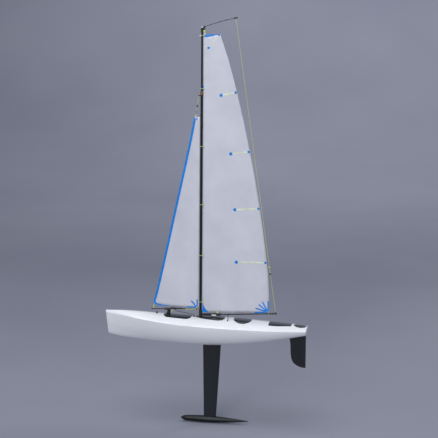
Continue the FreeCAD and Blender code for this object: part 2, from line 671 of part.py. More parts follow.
def jib_boom_ends():
    """The caps on the jib boom's two ends, a band and the tab that takes the jib sheet."""
    along = (side(JIB_BOOM_END) - side(JIB_BOOM_START)).normalize()
    fore, aft = side(JIB_BOOM_START), side(JIB_BOOM_END)
    pieces = [rod(fore - along * 1.2, fore + along * 4, 2.1).cut(rod(fore, fore + along * 9, JIB_BOOM_R)),
              rod(aft - along * 4, aft + along * 1.2, 2.1).cut(rod(aft - along * 9, aft, JIB_BOOM_R))]
    band = on_jib_boom(47.0)
    pieces.append(tube(band - along * 1.5, band + along * 1.5, 2.2, JIB_BOOM_R))
    tab = on_jib_boom(82.0)
    tab_block = block(tab.x - 1.5, tab.x + 1.5, -0.8, 0.8, tab.z - 4.6, tab.z - 1.0)
    pieces.append(tab_block.cut(rod(on_jib_boom(90.0), on_jib_boom(70.0), JIB_BOOM_R)))
    return Part.makeCompound(pieces)


def jib_trim_bar():
    """The bar with two knobs on top of the jib boom."""
    along = (side(JIB_BOOM_END) - side(JIB_BOOM_START)).normalize()
    start, end = on_jib_boom(97.0), on_jib_boom(59.0)
    bar = rod(start + Vector(-1, 0, 3.2), end + Vector(0, 0, 1.6), TRIM_BAR_R)
    knobs = [upright(TRIM_KNOB_R, on_jib_boom(x).z + 2.0, on_jib_boom(x).z + 5.2, x)
             for x in TRIM_KNOBS]
    boom = rod(start - along * 20, end + along * 20, JIB_BOOM_R)
    return bar.fuse(knobs).cut(boom)


def jib_sail():
    return sail(JIBSAIL, JIB_CAMBER)


def jib_ties():
    """The cords at the jib's tack, clew and head."""
    above_boom = Vector(0, 0, JIB_BOOM_R + 0.6)
    return Part.makeCompound([
        rod(side((151.5, 125.0)), on_jib_boom(153.5) + above_boom, CORD_R),
        rod(on_jib_boom(15.0) + above_boom * 1.6, side((11.0, 119.0)), CORD_R),
        rod(stay(HEAD_TIE_Z), stay(732.5), CORD_R)])


# ---- cords ---------------------------------------------------------------------------------
def leech_line():
    return rod(side(LEECH_LINE_TOP), side(LEECH_LINE_FOOT), LEECH_LINE_R)


def bowsie(top, foot, share, cord_r):
    """A small slider with a hole for its cord, part of the way down the cord."""
    along = (foot - top).normalize()
    centre = top + (foot - top) * share
    body = rod(centre - along * BOWSIE_HALF, centre + along * BOWSIE_HALF, BOWSIE_R)
    return body.cut(rod(centre - along * 6, centre + along * 6, cord_r + BOWSIE_GAP))


def leech_bowsie():
    return bowsie(side(LEECH_LINE_TOP), side(LEECH_LINE_FOOT), 0.867, LEECH_LINE_R)


def halyard_bowsie():
    return bowsie(stay(HALYARD_TOP_Z), stay(HALYARD_FOOT_Z), 0.66, CORD_R)


def jib_halyard():
    return rod(stay(HALYARD_TOP_Z), stay(HALYARD_FOOT_Z), CORD_R)


def halyard_swivel():
    """The barrel swivel under the halyard, on the line that the jib turns about."""
    return rod(stay(HALYARD_FOOT_Z), stay(HEAD_TIE_Z + 0.3), 1.5)


def mainsheet():
    """The stretch of the mainsheet between its lead on the deck and the eye under the boom."""
    lead = MAINSHEET_LEAD
    foot = Vector(lead["x"], lead["y"], deck(lead["x"], lead["y"]) + lead["top"] + 0.5)
    eye = on_boom(MAINSHEET_EYE_X)
    return rod(foot, Vector(eye.x, 0, eye.z - 6.2), SHEET_R)


def jib_sheet():
    return rod(side(JIB_SHEET_TOP), side(JIB_SHEET_FOOT), SHEET_R)


# ---- deck fittings -------------------------------------------------------------------------
def sheet_leads():
    """The two flanged guides that the sheets leave the deck through."""
    leads = []
    for lead in (MAINSHEET_LEAD, JIB_LEAD):
        x, y = lead["x"], lead["y"]
        level = deck(x, y)
        flange = upright(lead["flange"], 80, level + 1.2, x, y).cut(OUTER)
        stem = upright(LEAD_R, level - 5, level + lead["top"], x, y)
        leads.append(flange.fuse(stem).cut(upright(LEAD_BORE, 60, 120, x, y)))
    return Part.makeCompound(leads)


def foredeck_eye():
    """A small upright ring standing on the foredeck, with a free hole across the boat."""
    x, z, across = EYELET_X, crown(EYELET_X) + EYELET_RISE, Vector(0, 1, 0)
    disc = Part.makeCylinder(EYELET_R, EYELET_LENGTH, Vector(x, -EYELET_LENGTH / 2, z), across)
    foot = block(x - 2.6, x + 2.6, -2.2, 2.2, z - 8, z - 1.9)
    hole = Part.makeCylinder(EYELET_BORE, 8, Vector(x, -4, z), across)
    return disc.fuse(foot).cut(hull_body(FAIR_GAP)).cut(hole)


# ---- rudder --------------------------------------------------------------------------------
def rudder_blade():
    """The spade blade: its outline cut from a foil-thick plate, its top following the hull."""
    top = [(x, keel(x) - RUDDER_GAP) for x in (-286.0, RUDDER_X, RUDDER_TRAIL)]
    back = (RUDDER_TRAIL, RUDDER_TIP_Z)
    front = [(-332.0, RUDDER_TIP_Z), (-312.0, -54.0), (-298.0, -42.0), (-292.0, -24.0),
             (-290.2, 5.0), top[0]]
    edge = Part.BSplineCurve()
    edge.interpolate([side(p) for p in front])
    corners = Part.makePolygon([side(p) for p in top + [back, front[0]]])
    plate = Part.Face(Part.Wire(corners.Edges + [edge.toShape()])).extrude(Vector(0, 12, 0))
    plate.translate(Vector(0, -6, 0))
    foil = Part.Face(foil_wire(-283.0, RUDDER_TRAIL, RUDDER_THICKNESS, RUDDER_TIP_Z - 10))
    blade = plate.common(foil.extrude(Vector(0, 0, 125)))
    return blade.cut(upright(RUDDER_SHAFT_R, -20, 60, RUDDER_X))


def rudder_shaft():
    return upright(RUDDER_SHAFT_R, -20, TILLER_Z + 5, RUDDER_X)


def rudder_tube():
    hull_z = keel(RUDDER_X)
    pipe = ring(3.0, RUDDER_SHAFT_R + RUN_GAP, hull_z + 0.2, TILLER_Z - 3, RUDDER_X)
    flange = ring(6.0, 3.0, hull_z, TILLER_Z - 12, RUDDER_X).common(ROOM)
    return pipe.fuse(flange)


def tiller_arm():
    hub = upright(4.0, TILLER_Z - 2.8, TILLER_Z + 3.5, RUDDER_X)
    arm = block(RUDDER_X - 2.2, RUDDER_X + 2.2, 0, TILLER_REACH, TILLER_Z - 1, TILLER_Z + 1)
    end = upright(2.2, TILLER_Z - 1, TILLER_Z + 1, RUDDER_X, TILLER_REACH)
    arm = hub.fuse([arm, end])
    rod_hole = upright(ROD_R + RUN_GAP, 50, 80, RUDDER_X, TILLER_REACH)
    return arm.cut([rod_hole, upright(RUDDER_SHAFT_R, 50, 90, RUDDER_X)])


def rudder_pushrod():
    """The wire between the tiller and the servo horn, bent down at both ends."""
    level = TILLER_Z + 3.0
    fore, aft = RUDDER_SERVO["x"], RUDDER_X
    wire = rod(Vector(aft, TILLER_REACH, level), Vector(fore, TILLER_REACH, level), ROD_R)
    legs = [upright(ROD_R, TILLER_Z - 2.2, level, x, TILLER_REACH) for x in (fore, aft)]
    corners = [Part.makeSphere(ROD_R, Vector(x, TILLER_REACH, level)) for x in (fore, aft)]
    return wire.fuse(legs + corners)


# ---- electronics ---------------------------------------------------------------------------
def servo_window(unit):
    """The opening in the tray that a servo's case drops through."""
    return block(unit["x"] + unit["front"] + 0.4, unit["x"] - unit["back"] - 0.4,
                 -unit["half"] - 0.3, unit["half"] + 0.3, 30, 60)


def servo_tray():
    """The tray across the hull, with a window for each servo and one behind the sail servo."""
    tray = block(TRAY_FRONT, TRAY_BACK, -60, 60, TRAY_Z, TRAY_Z + TRAY_THICKNESS)
    hand_window = block(-137, -170, -24, 24, 30, 60)
    return tray.common(ROOM).cut([servo_window(SAIL_SERVO), servo_window(RUDDER_SERVO), hand_window])


def lug_holes(unit):
    """The plan positions of the four screws in a servo's lugs."""
    return [(unit["x"] + dx, y) for y in (-unit["half"] / 2, unit["half"] / 2)
            for dx in (unit["front"] + unit["lug"] / 2, -unit["back"] - unit["lug"] / 2)]


def servo(unit):
    """A servo case with its two lugs and the boss around its output shaft."""
    x, half, lug, high = unit["x"], unit["half"], unit["lug"], unit["high"]
    front, back = x + unit["front"], x - unit["back"]
    case = rounded(block(front, back, -half, half, unit["low"], high), 1.0)
    lugs = block(front + lug, back - lug, -half, half, TRAY_TOP, TRAY_TOP + 2)
    boss = upright(half * 0.6, high - 1, high + 2, x)
    holes = [upright(SERVO_SCREW_R + 0.05, TRAY_Z, TRAY_TOP + 4, *hole) for hole in lug_holes(unit)]
    shaft_hole = upright(SERVO_SHAFT_R, high - 6, high + 3, x)
    return case.fuse([lugs, boss]).cut(holes + [shaft_hole])


def sail_servo():
    return servo(SAIL_SERVO)


def rudder_servo():
    return servo(RUDDER_SERVO)


def servo_screws():
    screws = []
    for hole in lug_holes(SAIL_SERVO) + lug_holes(RUDDER_SERVO):
        shank = upright(SERVO_SCREW_R, TRAY_TOP - 0.05, TRAY_TOP + 2.1, *hole)
        screws.append(shank.fuse(upright(1.8, TRAY_TOP + 2.1, TRAY_TOP + 3.5, *hole)))
    return Part.makeCompound(screws)


def sail_servo_arm():
    """The long arm that hauls both sheets, on its stub shaft."""
    x, z = SAIL_SERVO["x"], SAIL_ARM_Z
    shaft = upright(SERVO_SHAFT_R - RUN_GAP, SAIL_SERVO["high"] - 5, z + 1, x)
    arm = block(x, x - SAIL_ARM_REACH, -3, 3, z + 0.5, z + 3)
    end = upright(3.0, z + 0.5, z + 3, x - SAIL_ARM_REACH)
    arm = upright(5.5, z, z + 4, x).fuse([shaft, arm, end]).removeSplitter()
    return arm.cut([upright(0.9, z - 2, z + 6, x - SAIL_ARM_REACH + inset) for inset in (0, 9)])


def rudder_horn():
    """The rudder servo's arm, which the pushrod's fore end drops into."""
    x, z = RUDDER_SERVO["x"], TILLER_Z - 1
    shaft = upright(SERVO_SHAFT_R - RUN_GAP, RUDDER_SERVO["high"] - 5, RUDDER_HORN_FOOT + 1.6, x)
    hub = upright(3.6, RUDDER_HORN_FOOT, z + 2, x).fuse(shaft)
    arm = block(x - 2, x + 2, 0, TILLER_REACH, z, z + 2)
    end = upright(2.6, z, z + 2, x, TILLER_REACH)
    return hub.fuse([arm, end]).cut(upright(ROD_R + 0.4, 55, 80, x, TILLER_REACH))


def battery_holder():
    """A cradle that fills the hull's round bottom, with a pocket for the cells."""
    return block(100, 36, -18, 18, 0, 26).common(ROOM).cut(block(98, 38, -16, 16, 11, 40))


def battery_cells():
    return Part.makeCompound([Part.makeCylinder(CELL_R, CELL_LENGTH, Vector(43, y, 11.2 + CELL_R),
                                                Vector(1, 0, 0))
                              for y in (-CELL_R - 0.4, CELL_R + 0.4)])


def receiver():
    return rounded(block(-92, -130, 14, 36, TRAY_TOP, TRAY_TOP + 11.4), 1.5)


def power_switch():
    case = block(-141, -153, 34, 41, TRAY_TOP, TRAY_TOP + 8)
    return case.cut(block(-143, -151, 36, 39, TRAY_TOP + 4.8, TRAY_TOP + 10))


def switch_slider():
    return block(-143.1, -147.1, 36.1, 38.9, TRAY_TOP + 4.9, TRAY_TOP + 10.9)


MAKERS = [
    hull_shell, deck_shell, bow_bumper, mast_plate, sheet_leads, foredeck_eye,
    keel_box, keel_fin, keel_bulb, keel_fasteners,
    mast_step, mast_lower, mast_upper, mast_ferrule, masthead_cap, masthead_fitting,
    masthead_crane, crane_beads, mast_collars, hoist_eye,
    gooseneck, main_boom_tube, boom_end_fittings, boom_sheet_eye, mainsail, mainsail_ties,
    jib_pivot_post, jib_swivel, jib_boom_tube, jib_boom_ends, jib_trim_bar, jib_sail, jib_ties,
    leech_line, leech_bowsie, jib_halyard, halyard_bowsie, halyard_swivel, mainsheet, jib_sheet,
    rudder_blade, rudder_shaft, rudder_tube, tiller_arm, rudder_pushrod,
    servo_tray, sail_servo, rudder_servo, servo_screws, sail_servo_arm, rudder_horn,
    battery_holder, battery_cells, receiver, power_switch, switch_slider,
]

os.makedirs("parts", exist_ok=True)
for name in [*PANELS, *ROUND_PANELS]:
    deck_panel(name).exportStep(f"parts/{name}.step")
for make in MAKERS:
    make().exportStep(f"parts/{make.__name__}.step")
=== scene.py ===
"""Looks of a radio-controlled sailing yacht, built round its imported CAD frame.

The frame is in metres, +X to the bow, +Y to port. Dimensions here are named in millimetres, as
in the CAD source, and side() turns them into points of the frame.
"""
import json
import math

import bmesh
import bpy
from mathutils import Matrix, Vector


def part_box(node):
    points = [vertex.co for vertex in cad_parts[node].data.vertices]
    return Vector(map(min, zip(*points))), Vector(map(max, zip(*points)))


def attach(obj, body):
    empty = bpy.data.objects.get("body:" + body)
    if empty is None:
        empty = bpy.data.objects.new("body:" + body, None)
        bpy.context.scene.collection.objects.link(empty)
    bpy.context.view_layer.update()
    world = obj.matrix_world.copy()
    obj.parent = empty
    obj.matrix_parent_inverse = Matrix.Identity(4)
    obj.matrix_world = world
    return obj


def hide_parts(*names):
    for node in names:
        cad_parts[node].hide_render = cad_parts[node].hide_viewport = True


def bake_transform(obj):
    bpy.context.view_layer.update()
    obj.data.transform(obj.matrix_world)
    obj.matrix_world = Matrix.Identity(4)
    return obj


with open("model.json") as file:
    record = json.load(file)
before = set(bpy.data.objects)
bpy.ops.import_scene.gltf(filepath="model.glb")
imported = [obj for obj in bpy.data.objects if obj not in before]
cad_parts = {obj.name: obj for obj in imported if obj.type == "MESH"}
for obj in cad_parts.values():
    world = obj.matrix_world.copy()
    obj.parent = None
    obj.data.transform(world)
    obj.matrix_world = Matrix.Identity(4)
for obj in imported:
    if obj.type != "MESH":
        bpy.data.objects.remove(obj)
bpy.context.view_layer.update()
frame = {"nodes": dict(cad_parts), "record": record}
scene = bpy.context.scene
MM = 0.001

# ---- rig dimensions, in millimetres as in the CAD source ------------------------------------
RAKE = math.radians(0.5)
RAKE_Z = 97.0
LOWER_MAST_R, UPPER_MAST_R, MAST_JOINT = 3.9, 2.9, 806.0
LUFF_X = -6.6
MAIN_TIE_HEIGHTS = [139.6, 290.8, 454.2, 638.4, 817.4, 979.5]
BOOM_START, BOOM_END = (-46.0, 99.4), (-243.8, 114.6)
CLEW_RING_X = -219.5
JIB_BOOM_START, JIB_BOOM_END = (159.5, 108.6), (12.5, 115.2)
JIB_PIVOT, HOIST = (104.7, 95.0), (3.5, 795.5)
LEECH_LINE_TOP, LEECH_LINE_FOOT = (-112.5, 1029.0), (-240.7, 119.4)
LEECH_LINE_R, CORD_R, SHEET_R = 0.55, 0.6, 0.9
HALYARD_TOP_Z, HALYARD_FOOT_Z = 793.4, 748.0
JIB_SHEET_TOP, JIB_SHEET_FOOT = (80.5, 105.6), (24.0, 96.8)
MAIN_CAMBER, JIB_CAMBER = 0.035, 0.03      # a belly's depth as a share of the sail's width

# ---- dimensions of the drawn pieces ---------------------------------------------------------
MAIN_FOOT_SAG, JIB_FOOT_SAG = 3.0, 5.2     # how far each foot hangs below a straight line
SAG_FADE = 130.0                           # the height above the foot where that has died away
SAIL_THICKNESS = 0.16
TAPE_HALF, BATTEN_HALF, DOT_HALF = 0.20, 0.32, 0.40   # how far each stands off the film
OVERLAP_STEP = 0.02                        # how much higher each crossing stripe lies
EDGE_LAP = 0.03                            # how much higher a patch lies than the tape below it
TACK_X = -6.0                              # where the main's tack patch begins
SHARP_ANGLE = math.radians(40)             # edges sharper than this stay crisp
LEAST_REACH = 0.02                         # half the width of a tape at its very end
END_CUTS = [0.0, 0.04, 0.15, 0.4, 1.0]     # where a tape's round end is cut, in end radii
AHEAD = 0.5                                # how far along a tape its direction is read
NEARLY_TWO = 1.999                         # a dot's width in radii, just under its length
POLE_R = 0.12                              # the least radius at the ends of a turned bead
KNOT_STEPS, KNOT_CORD = 40, 0.3            # a knot's steps, and its cord's share of its size
NEAR_ROUNDS = 12                           # rounds of search for a side-view point on a sail
TIE_R, CLEW_TIE_R, TACK_TIE_R, TIE_END_R = 0.8, 0.45, 1.2, 0.9
TIE_MAST_GAP, TIE_REACH, TIE_TILT = 0.75, 1.8, 0.5
LUFF_KNOT, LUFF_KNOT_SIZE = (LUFF_X + 0.2, 2.4), 1.5   # its (x, y) on each luff tie
LUFF_KNOT_TURN = 0.4                       # how much further each is turned than the last
CLEW_RING = (3.2, 2.9, 0.4)                # half its height and width, and how far it sways
# the jib's corner ties as (corner, x on the boom, height above its axis, bow, radius)
JIB_TIES = [((151.5, 125.0), 153.5, 2.0, 0.5, TACK_TIE_R),
            ((11.0, 119.0), 15.0, 2.6, -0.3, CORD_R)]
JIB_HEAD_TIE = (741.0, 736.8, 732.5)       # its heights on the line the jib turns about
MAINSHEET_SLACK = (0.0, 0.6, -1.2)         # how far the mainsheet's middle hangs off its line
RING_TURNS = [2 * math.pi * i / 36 for i in range(36)]

# each sail as (luff point, leech point) rows from foot to head, in the side view
MAIN_ROWS = [((-5.7, 104.8), (-220.0, 116.0)), ((-5.3, 178.0), (-218.4, 188.0)),
             ((-5.2, 250.0), (-212.8, 262.0)), ((-5.2, 400.0), (-191.5, 415.0)),
             ((-5.2, 560.0), (-161.0, 585.0)), ((-5.2, 720.0), (-125.0, 748.0)),
             ((-5.2, 870.0), (-87.5, 890.0)), ((-4.6, 976.0), (-56.5, 983.5))]
JIB_ROWS = [((153.0, 125.5), (5.6, 119.5)), ((119.5, 268.0), (4.4, 262.0)),
            ((86.0, 415.0), (3.1, 408.0)), ((51.0, 567.0), (1.8, 560.0)),
            ((16.5, 731.5), (0.4, 729.0))]

# ---- colours, linear ------------------------------------------------------------------------
BLUE = (0.002, 0.235, 0.75, 1)
CREAM = (0.80, 0.88, 0.62, 1)
YELLOW_GREEN = (0.64, 0.80, 0.13, 1)


# ---- camera ---------------------------------------------------------------------------------
CAMERA_PLACE, CAMERA_TARGET = (-0.7663, 3.7741, 1.1772), (-0.060, 0.0, 0.410)
LENS, SENSOR_WIDTH = 102.74, 36.0


def aimed(place, target):
    """The turn that points a camera or lamp at a target."""
    return (Vector(target) - Vector(place)).to_track_quat("-Z", "Y")


def make_camera():
    """The photograph's view: from port and slightly abaft the beam, a little above."""
    data = bpy.data.cameras.new("view")
    data.lens, data.sensor_width = LENS, SENSOR_WIDTH
    data.clip_start, data.clip_end = 0.1, 200
    camera = bpy.data.objects.new("view", data)
    camera.location = CAMERA_PLACE
    camera.rotation_mode = "QUATERNION"
    camera.rotation_quaternion = aimed(CAMERA_PLACE, CAMERA_TARGET)
    scene.collection.objects.link(camera)
    scene.camera = camera


# ---- materials ------------------------------------------------------------------------------
class Nodes:
    """A material's node tree with short calls for the nodes used here."""

    def __init__(self, name):
        self.material = bpy.data.materials.new(name)
        self.material.use_nodes = True
        self.tree = self.material.node_tree
        self.shader = self.tree.nodes["Principled BSDF"]
        self.where = self.add("ShaderNodeTexCoord").outputs["Object"]

    def add(self, kind, **values):
        node = self.tree.nodes.new(kind)
        for key, value in values.items():
            setattr(node, key, value)
        return node

    def link(self, source, target):
        self.tree.links.new(source, target)

    def stretched(self, scale):
        """The object coordinates, scaled along each axis."""
        mapping = self.add("ShaderNodeMapping")
        mapping.inputs["Scale"].default_value = scale
        self.link(self.where, mapping.inputs["Vector"])
        return mapping.outputs["Vector"]

    def noise(self, scale, detail=3.0, where=None):
        node = self.add("ShaderNodeTexNoise")
        node.inputs["Scale"].default_value = scale
        node.inputs["Detail"].default_value = detail
        self.link(where or self.where, node.inputs["Vector"])
        return node.outputs["Fac"]

    def wave(self, scale, direction, distortion=0.0):
        node = self.add("ShaderNodeTexWave", bands_direction=direction)
        node.inputs["Scale"].default_value = scale
        node.inputs["Distortion"].default_value = distortion
        self.link(self.where, node.inputs["Vector"])
        return node.outputs["Fac"]

    def ramp(self, source, stops):
        """Colours by share; stops are (place, colour)."""
        node = self.add("ShaderNodeValToRGB")
        for element, (place, colour) in zip(node.color_ramp.elements, stops):
            element.position, element.color = place, colour
        self.link(source, node.inputs["Fac"])
        return node.outputs["Color"]

    def span(self, source, low, high):
        """The source from 0 to 1 laid onto low to high."""
        node = self.add("ShaderNodeMapRange")
        node.inputs["To Min"].default_value = low
        node.inputs["To Max"].default_value = high
        self.link(source, node.inputs["Value"])
        return node.outputs["Result"]

    def sum(self, a, b, share=0.5):
        node = self.add("ShaderNodeMix", data_type="FLOAT")
        node.inputs["Factor"].default_value = share
        self.link(a, node.inputs["A"])
        self.link(b, node.inputs["B"])
        return node.outputs["Result"]

    def bump(self, source, height, strength=1.0):
        node = self.add("ShaderNodeBump")
        node.inputs["Distance"].default_value = height
        node.inputs["Strength"].default_value = strength
        self.link(source, node.inputs["Height"])
        self.link(node.outputs["Normal"], self.shader.inputs["Normal"])

    def colour(self, source, dark, light, low=0.35, high=0.65):
        self.link(self.ramp(source, [(low, dark), (high, light)]), self.shader.inputs["Base Color"])

    def rough(self, source, low, high):
        self.link(self.span(source, low, high), self.shader.inputs["Roughness"])

    def set(self, **values):
        for key, value in values.items():
            self.shader.inputs[key.replace("_", " ")].default_value = value
        return self.material


def shaded(colour, factor):
    """The colour made darker or lighter."""
    return tuple(min(1.0, c * factor) for c in colour[:3]) + (1,)


def moulded(name, colour, rough, grain, height, contrast=0.12, coat=0.0):
    """Moulded plastic or paint: soft blotches, fine grain and a slightly uneven gloss."""
    m = Nodes(name)
    blotch = m.noise(grain * 0.06, 4.0)
    fine = m.noise(grain, 2.0)
    m.colour(m.sum(blotch, fine, 0.25), shaded(colour, 1 - contrast), shaded(colour, 1 + contrast))
    m.rough(blotch, rough * 0.85, rough * 1.15)
    m.bump(fine, height)
    return m.set(Coat_Weight=coat, Coat_Roughness=0.06)


def gelcoat(name, colour, rough):
    """The white shell: gloss over a faint ripple, with a trace of handling marks."""
    m = Nodes(name)
    ripple = m.noise(28, 2.0)
    marks = m.noise(9, 7.0, m.stretched((1.0, 2.5, 5.0)))
    m.colour(marks, shaded(colour, 0.955), shaded(colour, 1.01), 0.3, 0.7)
    m.rough(marks, rough * 1.35, rough * 0.8)
    m.bump(ripple, 0.0006, 0.25)
    return m.set(Coat_Weight=0.5, Coat_Roughness=0.08, Specular_IOR_Level=0.5)


def gloss_panel():
    """The black self-adhesive panels: a fine woven look under a clear gloss film."""
    m = Nodes("black_gloss_panel")
    weave = m.sum(m.wave(330, "DIAGONAL"), m.wave(260, "Y"))
    smear = m.noise(35, 5.0)
    m.colour(weave, (0.006, 0.006, 0.008, 1), (0.020, 0.021, 0.025, 1), 0.25, 0.75)
    m.rough(smear, 0.10, 0.24)
    m.bump(smear, 0.0004, 0.2)
    return m.set(Coat_Weight=0.8, Coat_Roughness=0.05)


def carbon(name, stretch, wear_scale):
    """Drawn carbon tube: fibres along the tube, where the stretch is least, and a satin sheen."""
    m = Nodes(name)
    fibres = m.noise(60, 3.0, m.stretched(stretch))
    wear = m.noise(wear_scale, 4.0)
    m.colour(fibres, (0.003, 0.003, 0.004, 1), (0.012, 0.013, 0.016, 1), 0.3, 0.7)
    m.rough(wear, 0.28, 0.46)
    m.bump(fibres, 0.00015, 0.5)
    return m.set(Coat_Weight=0.12, Coat_Roughness=0.15, Specular_IOR_Level=0.25)


def foil_black(name, colour):
    """The moulded fin and rudder: satin black with faint flow lines and scuffs."""
    m = Nodes(name)
    flow = m.noise(14, 5.0, m.stretched((1.0, 1.0, 0.25)))
    scuffs = m.noise(90, 8.0, m.stretched((1.0, 1.0, 3.0)))
    m.colour(m.sum(flow, scuffs, 0.35), shaded(colour, 0.7), shaded(colour, 1.45))
    m.rough(scuffs, 0.30, 0.52)
    m.bump(m.sum(flow, scuffs), 0.0003, 0.35)
    return m.set(Coat_Weight=0.08, Coat_Roughness=0.2, Specular_IOR_Level=0.35)


def sail_film():
    """Crisp film that light passes through: a fine laid grid, soft mottling and long creases."""
    m = Nodes("sail_film")
    grid = m.sum(m.wave(210, "Z"), m.wave(210, "X"))
    mottle = m.noise(11, 5.0)
    crease = m.noise(5, 6.0, m.stretched((1.0, 1.0, 2.2)))
    shade = m.sum(mottle, grid, 0.22)
    m.colour(shade, (0.62, 0.63, 0.71, 1), (0.75, 0.76, 0.83, 1), 0.3, 0.7)
    m.rough(mottle, 0.34, 0.52)
    m.bump(m.sum(crease, grid, 0.06), 0.004, 0.35)
    return m.set(Alpha=0.93, Sheen_Weight=0.1)


def vinyl(name, colour):
    """Adhesive tape: smooth, a little uneven where it was rubbed down."""
    m = Nodes(name)
    rub = m.noise(70, 5.0)
    m.colour(rub, shaded(colour, 0.86), shaded(colour, 1.12))
    m.rough(rub, 0.24, 0.42)
    m.bump(rub, 0.0002, 0.4)
    return m.set(Coat_Weight=0.1, Coat_Roughness=0.15, Specular_IOR_Level=0.3)


def braid(name, colour, scale=1500.0):
    """Braided cord: crossing strands, with a painted highlight on their crowns and painted shade in
    the grooves between them.
    """
    m = Nodes(name)
    strands_and_painted_shade = m.sum(m.wave(scale, "DIAGONAL"), m.wave(scale * 0.8, "Z"))
    fuzz = m.noise(900, 3.0)
    # painted shade and highlight: the colour ramp over the strands darkens the grooves and lightens
    # the crowns
    m.colour(strands_and_painted_shade, shaded(colour, 0.62), shaded(colour, 1.15), 0.2, 0.8)
    m.rough(fuzz, 0.62, 0.85)
    m.bump(strands_and_painted_shade, 0.00012, 0.7)
    return m.set(Sheen_Weight=0.3, Sheen_Roughness=0.5)


def steel():
    """Turned stainless steel with fine tool marks."""
    m = Nodes("plain_steel")
    marks = m.noise(400, 2.0, m.stretched((1.0, 1.0, 8.0)))
    m.colour(marks, (0.46, 0.47, 0.48, 1), (0.62, 0.63, 0.64, 1))
    m.rough(marks, 0.2, 0.38)
    m.bump(marks, 0.00005, 0.4)
    return m.set(Metallic=1.0)


def amber():
    """Amber plastic of the mast's ferrule: clear enough to glow a little."""
    m = Nodes("amber_plastic")
    swirl = m.noise(160, 3.0)
    m.colour(swirl, (0.16, 0.07, 0.02, 1), (0.30, 0.14, 0.04, 1))
    m.rough(swirl, 0.18, 0.3)
    m.bump(swirl, 0.0001, 0.3)
    return m.set(Subsurface_Weight=0.2, Subsurface_Radius=(0.002, 0.001, 0.0005))


def make_materials():
    """One material for each slot in the record, and the extra ones the added pieces need."""
    return {
        "white_gelcoat": gelcoat("white_gelcoat", (0.80, 0.815, 0.85, 1), 0.22),
        "bumper_rubber": moulded("bumper_rubber", (0.74, 0.755, 0.79, 1), 0.55, 900, 0.00015, 0.04),
        "black_gloss_panel": gloss_panel(),
        "black_plastic": moulded("black_plastic", (0.014, 0.014, 0.016, 1), 0.42, 2600, 0.00008,
                                 0.35),
        "carbon_spar": carbon("carbon_spar", (26.0, 26.0, 0.5), 18),
        "black_fin": foil_black("black_fin", (0.010, 0.012, 0.016, 1)),
        "bulb_paint": foil_black("bulb_paint", (0.005, 0.006, 0.009, 1)),
        "plain_steel": steel(),
        "amber_plastic": amber(),
        "white_plastic": moulded("white_plastic", (0.72, 0.72, 0.71, 1), 0.38, 1800, 0.00008, 0.05),
        "sail_film": sail_film(),
        "yellow_green_cord": braid("yellow_green_cord", YELLOW_GREEN),
        "servo_case": moulded("servo_case", (0.016, 0.016, 0.018, 1), 0.5, 1500, 0.00015, 0.3),
        "cell_wrap": moulded("cell_wrap", (0.03, 0.14, 0.06, 1), 0.25, 500, 0.00005, 0.12, 0.4),
        "grey_plastic": moulded("grey_plastic", (0.13, 0.135, 0.145, 1), 0.5, 1600, 0.00015, 0.1),
        "boom_carbon": carbon("boom_carbon", (0.5, 26.0, 26.0), 30),
        "blue_tape": vinyl("blue_tape", BLUE),
        "batten_strip": vinyl("batten_strip", CREAM),
        "clear_blob": vinyl("clear_blob", (0.72, 0.74, 0.76, 1)),
        "dark_cord": braid("dark_cord", (0.03, 0.035, 0.05, 1)),
    }


def dress_nodes(materials):
    """Every CAD node shows the material of its slot in the record."""
    lying = {"main_boom_tube", "jib_boom_tube"}
    for part in frame["record"]["subparts"]:
        name = part["node"]
        chosen = "boom_carbon" if name in lying else part["material_slot"]
        node = frame["nodes"][name]
        for place in node.material_slots:
            place.link = "OBJECT"
            place.material = materials[chosen]


# ---- placing in the frame -------------------------------------------------------------------
def smooth(points):
    """A smooth function through (x, value) points; a value may be a Vector."""
    def value(x):
        i = 0
        while i < len(points) - 2 and x > points[i + 1][0]:
            i += 1
        slopes = []
        for j in (i, i + 1):
            (xa, a), (xb, b) = points[max(j - 1, 0)], points[min(j + 1, len(points) - 1)]
            slopes.append((b - a) * (1 / (xb - xa)))
        (x0, p0), (x1, p1) = points[i], points[i + 1]
        run = x1 - x0
        t = (x - x0) / run
        return (p0 * ((1 + 2 * t) * (1 - t) ** 2) + slopes[0] * (t * (1 - t) ** 2 * run)
                + p1 * (t * t * (3 - 2 * t)) + slopes[1] * (t * t * (t - 1) * run))

    return value


def side(x, z, y=0.0):
    """A point of the side view in metres, from millimetres."""
    return Vector((x, y, z)) * MM


def raked(point):
    """A point of the upright mast frame moved to the raked mast; metres."""
    pivot = Vector((0, 0, RAKE_Z * MM))
    return Matrix.Rotation(-RAKE, 3, "Y") @ (point - pivot) + pivot


def on_line(start, end, x):
    """The point at X on a boom's axis given in the side view."""
    share = (x - start[0]) / (end[0] - start[0])
    return side(x, start[1] + share * (end[1] - start[1]))


def stay(z):
    """The point at height z on the line that the jib turns about."""
    share = (z - JIB_PIVOT[1]) / (HOIST[1] - JIB_PIVOT[1])
    return side(JIB_PIVOT[0] + share * (HOIST[0] - JIB_PIVOT[0]), z)


